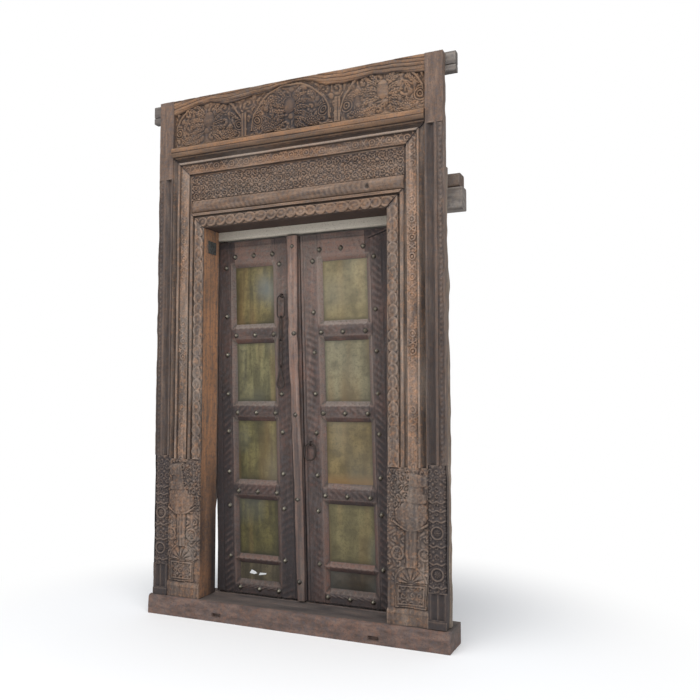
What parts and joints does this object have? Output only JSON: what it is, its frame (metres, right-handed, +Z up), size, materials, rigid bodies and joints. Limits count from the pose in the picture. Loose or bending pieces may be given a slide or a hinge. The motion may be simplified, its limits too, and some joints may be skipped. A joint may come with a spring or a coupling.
{
  "type": "carved temple door with frame",
  "caption": "Carved double-leaf wooden door in its moulded frame: leaves swing inwards on wooden pivots, with brass panels, studs, a chain with hasp and a ring pull.",
  "frame": {"origin": "middle of the sill's underside, in the plane of the outer posts' front faces", "axes": "+X to the right seen from the carved front, +Y into the doorway, +Z up"},
  "size_m": [1.563, 0.2347, 2.48],
  "materials": {
    "frame_wood": "weathered, carved, dull",
    "warm_wood": "weathered, warm brown",
    "leaf_wood": "dark, weathered, carved",
    "pink_wood": "bare, weathered",
    "grey_wood": "grey, weathered, rough sawn",
    "sheet_brass": "tarnished sheet, dented",
    "stud_brass": "worn cast heads",
    "iron": "forged, rusted dark"
  },
  "bodies": {
    "frame": {"backing_plank_left": "grey_wood", "backing_plank_right": "grey_wood", "cornice_ledge": "warm_wood", "frieze_board": "warm_wood", "head_batten": "grey_wood", "head_rail": "warm_wood", "jamb_left": "frame_wood", "jamb_right": "frame_wood", "lintel_lower_band": "frame_wood", "lintel_tablet": "frame_wood", "lintel_torus": "frame_wood", "lintel_upper_band": "frame_wood", "outer_post_left": "frame_wood", "outer_post_right": "frame_wood", "rear_lintel": "grey_wood", "rear_lintel_cap": "frame_wood", "rear_post_left": "frame_wood", "rear_post_right": "frame_wood", "rear_sill": "frame_wood", "reveal_plate": "iron", "sill": "frame_wood"},
    "leaf_left": {"astragal": "pink_wood", "astragal_nails": "iron", "chain_staple": "iron", "hinge_stile_left": "leaf_wood", "meeting_stile_left": "leaf_wood", "rail_left_1": "leaf_wood", "rail_left_2": "leaf_wood", "rail_left_3": "leaf_wood", "rail_left_4": "leaf_wood", "rail_left_5": "leaf_wood", "rail_left_6": "leaf_wood", "sheet_left_1": "sheet_brass", "sheet_left_2": "sheet_brass", "sheet_left_3": "sheet_brass", "sheet_left_4": "sheet_brass", "sheet_left_5": "sheet_brass", "studs_left": "stud_brass"},
    "leaf_right": {"hinge_stile_right": "leaf_wood", "meeting_stile_right": "leaf_wood", "rail_right_1": "leaf_wood", "rail_right_2": "leaf_wood", "rail_right_3": "leaf_wood", "rail_right_4": "leaf_wood", "rail_right_5": "leaf_wood", "rail_right_6": "leaf_wood", "ring_staple": "iron", "sheet_right_1": "sheet_brass", "sheet_right_2": "sheet_brass", "sheet_right_3": "sheet_brass", "sheet_right_4": "sheet_brass", "sheet_right_5": "sheet_brass", "studs_right": "stud_brass"},
    "chain_link_upper": {"chain_link_upper": "iron"},
    "chain_link_cross": {"chain_link_cross": "iron"},
    "chain_link_long": {"chain_link_long": "iron"},
    "hasp": {"hasp": "iron"},
    "pull_ring": {"pull_ring": "iron"}
  },
  "joints": [
    {"name": "leaf_left_pivot", "type": "hinge", "parent": "frame", "child": "leaf_left", "pos_m": [-0.447, 0.1725, 0.9375], "axis": [0, 0, 1], "range_deg": [0, 90]},
    {"name": "leaf_right_pivot", "type": "hinge", "parent": "frame", "child": "leaf_right", "pos_m": [0.447, 0.1725, 0.9375], "axis": [0, 0, -1], "range_deg": [0, 90]},
    {"name": "chain_staple_hinge", "type": "hinge", "parent": "leaf_left", "child": "chain_link_upper", "pos_m": [-0.11165, 0.132, 1.498], "axis": [-1, 0, 0], "range_deg": [0, 50]},
    {"name": "chain_cross_hinge", "type": "hinge", "parent": "chain_link_upper", "child": "chain_link_cross", "pos_m": [-0.11165, 0.132, 1.3924], "axis": [-1, 0, 0], "range_deg": [0, 45]},
    {"name": "chain_long_hinge", "type": "hinge", "parent": "chain_link_cross", "child": "chain_link_long", "pos_m": [-0.11165, 0.132, 1.2908], "axis": [-1, 0, 0], "range_deg": [0, 45]},
    {"name": "hasp_hinge", "type": "hinge", "parent": "chain_link_long", "child": "hasp", "pos_m": [-0.11165, 0.132, 1.1652], "axis": [-1, 0, 0], "range_deg": [0, 40]},
    {"name": "ring_hinge", "type": "hinge", "parent": "leaf_right", "child": "pull_ring", "pos_m": [0.04185, 0.138, 0.808], "axis": [-1, 0, 0], "range_deg": [0, 100]}
  ]
}
